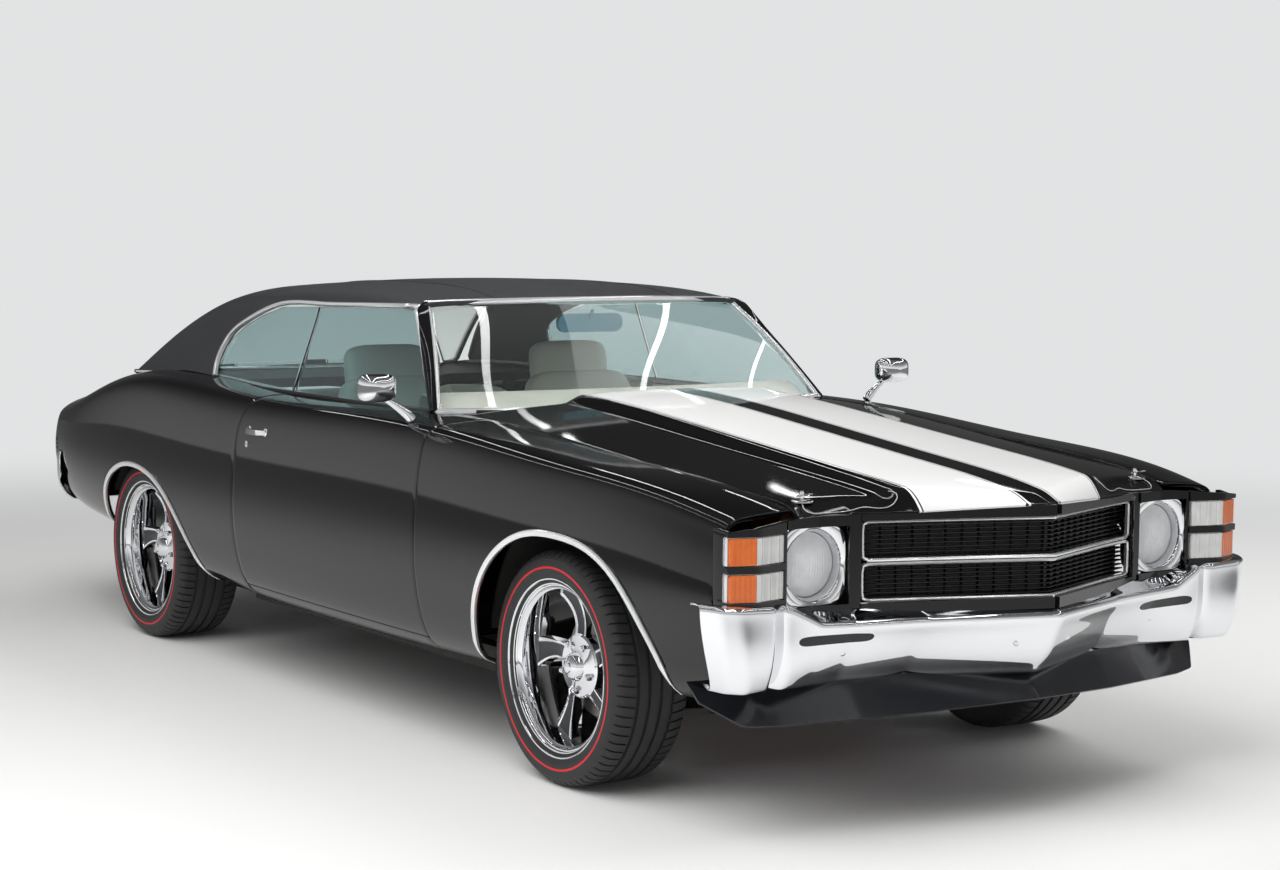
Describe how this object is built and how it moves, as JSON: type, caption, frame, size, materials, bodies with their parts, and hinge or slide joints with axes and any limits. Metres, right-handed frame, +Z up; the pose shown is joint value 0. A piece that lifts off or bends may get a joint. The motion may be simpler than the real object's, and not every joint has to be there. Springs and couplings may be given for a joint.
{
  "type": "two-door hardtop muscle car",
  "caption": "Two-door hardtop coupe with a long hood, vinyl roof, V-shaped nose with wide grille, chrome bumpers, opening doors, hood and trunk, and steered wheels that roll.",
  "frame": {"origin": "on the ground under the middle of the car's overall length and width", "axes": "+X towards the nose, +Y to the car's left, +Z up"},
  "size_m": [5.016, 2.1002, 1.3419],
  "materials": {
    "body_paint": "deep gloss black",
    "chassis_black": "satin black",
    "vinyl_roof": "charcoal grained vinyl",
    "chrome": "polished",
    "grille_black": "black with bright trims",
    "chin_black": "satin black",
    "tinted_glass": "faintly green",
    "lamp_glass": "clear ribbed",
    "lamp_amber": "amber and clear lens",
    "lamp_red": "red lens",
    "tyre": "black with red line",
    "cream_vinyl": "cream grained vinyl",
    "dash_plastic": "pale grained",
    "iron": "painted casting",
    "steel": "bare steel",
    "rubber": "matte"
  },
  "bodies": {
    "body": {"front_fender_left": "body_paint", "quarter_panel_left": "body_paint", "front_fender_right": "body_paint", "quarter_panel_right": "body_paint", "cowl_panel": "body_paint", "header_panel": "body_paint", "tail_panel": "body_paint", "deck_filler_panel": "body_paint", "roof": "vinyl_roof", "windshield": "tinted_glass", "rear_window": "tinted_glass", "quarter_glass": "tinted_glass", "grille": "grille_black", "headlamp_bezels": "chrome", "front_bumper": "chrome", "rear_bumper": "chrome", "rear_view_mirror": "chrome", "headlamps": "lamp_glass", "marker_lamps": "lamp_amber", "tail_lamps": "lamp_red", "chin_spoiler": "chin_black", "wiper_arms": "rubber", "frame_rails": "chassis_black", "cross_members": "chassis_black", "floor_pan": "chassis_black", "rear_floor": "chassis_black", "parcel_shelf": "chassis_black", "wheelhouses": "chassis_black", "radiator": "chassis_black", "fuel_tank": "chassis_black", "rear_axle": "iron", "control_arms": "iron", "engine_block": "iron", "exhaust": "steel", "front_seats": "cream_vinyl", "rear_seat": "cream_vinyl", "dashboard": "dash_plastic", "steering_column": "chin_black"},
    "door_left": {"door_left": "body_paint", "door_glass_left": "tinted_glass", "door_mirror_left": "chrome"},
    "door_right": {"door_right": "body_paint", "door_glass_right": "tinted_glass", "door_mirror_right": "chrome"},
    "hood": {"hood": "body_paint"},
    "trunk_lid": {"trunk_lid": "body_paint"},
    "steer_left": {"knuckle_left": "iron"},
    "steer_right": {"knuckle_right": "iron"},
    "wheel_front_left": {"tyre_front_left": "tyre", "rim_front_left": "chrome"},
    "wheel_front_right": {"tyre_front_right": "tyre", "rim_front_right": "chrome"},
    "wheel_rear_left": {"tyre_rear_left": "tyre", "rim_rear_left": "chrome"},
    "wheel_rear_right": {"tyre_rear_right": "tyre", "rim_rear_right": "chrome"},
    "steering_wheel": {"steering_wheel": "chin_black"}
  },
  "joints": [
    {"name": "steer_right", "type": "hinge", "parent": "body", "child": "steer_right", "pos_m": [1.439, -0.7, 0.328], "axis": [0, 0, 1], "range_deg": [-32, 32]},
    {"name": "steer_left", "type": "hinge", "parent": "body", "child": "steer_left", "pos_m": [1.439, 0.7, 0.328], "axis": [0, 0, 1], "range_deg": [-32, 32]},
    {"name": "spin_front_right", "type": "hinge", "parent": "steer_right", "child": "wheel_front_right", "pos_m": [1.439, -0.76, 0.328], "axis": [0, 1, 0], "continuous": true},
    {"name": "spin_front_left", "type": "hinge", "parent": "steer_left", "child": "wheel_front_left", "pos_m": [1.439, 0.76, 0.328], "axis": [0, 1, 0], "continuous": true},
    {"name": "spin_rear_right", "type": "hinge", "parent": "body", "child": "wheel_rear_right", "pos_m": [-1.406, -0.76, 0.328], "axis": [0, 1, 0], "continuous": true},
    {"name": "spin_rear_left", "type": "hinge", "parent": "body", "child": "wheel_rear_left", "pos_m": [-1.406, 0.76, 0.328], "axis": [0, 1, 0], "continuous": true},
    {"name": "door_right", "type": "hinge", "parent": "body", "child": "door_right", "pos_m": [0.836, -0.93, 0.6], "axis": [0, 0, 1], "range_deg": [0, 65]},
    {"name": "door_left", "type": "hinge", "parent": "body", "child": "door_left", "pos_m": [0.836, 0.93, 0.6], "axis": [0, 0, -1], "range_deg": [0, 65]},
    {"name": "hood", "type": "hinge", "parent": "body", "child": "hood", "pos_m": [0.616, 0, 0.96], "axis": [0, -1, 0], "range_deg": [0, 55]},
    {"name": "trunk_lid", "type": "hinge", "parent": "body", "child": "trunk_lid", "pos_m": [-1.756, 0, 0.974], "axis": [0, 1, 0], "range_deg": [0, 70]},
    {"name": "steering_wheel_turn", "type": "hinge", "parent": "body", "child": "steering_wheel", "pos_m": [0.186, 0.365, 0.8], "axis": [-0.9, 0, 0.436], "range_deg": [-520, 520]}
  ],
  "couplings": [
    {"joint": "steer_left", "follows": "steer_right", "ratio": 1},
    {"joint": "steering_wheel_turn", "follows": "steer_right", "ratio": 16}
  ]
}
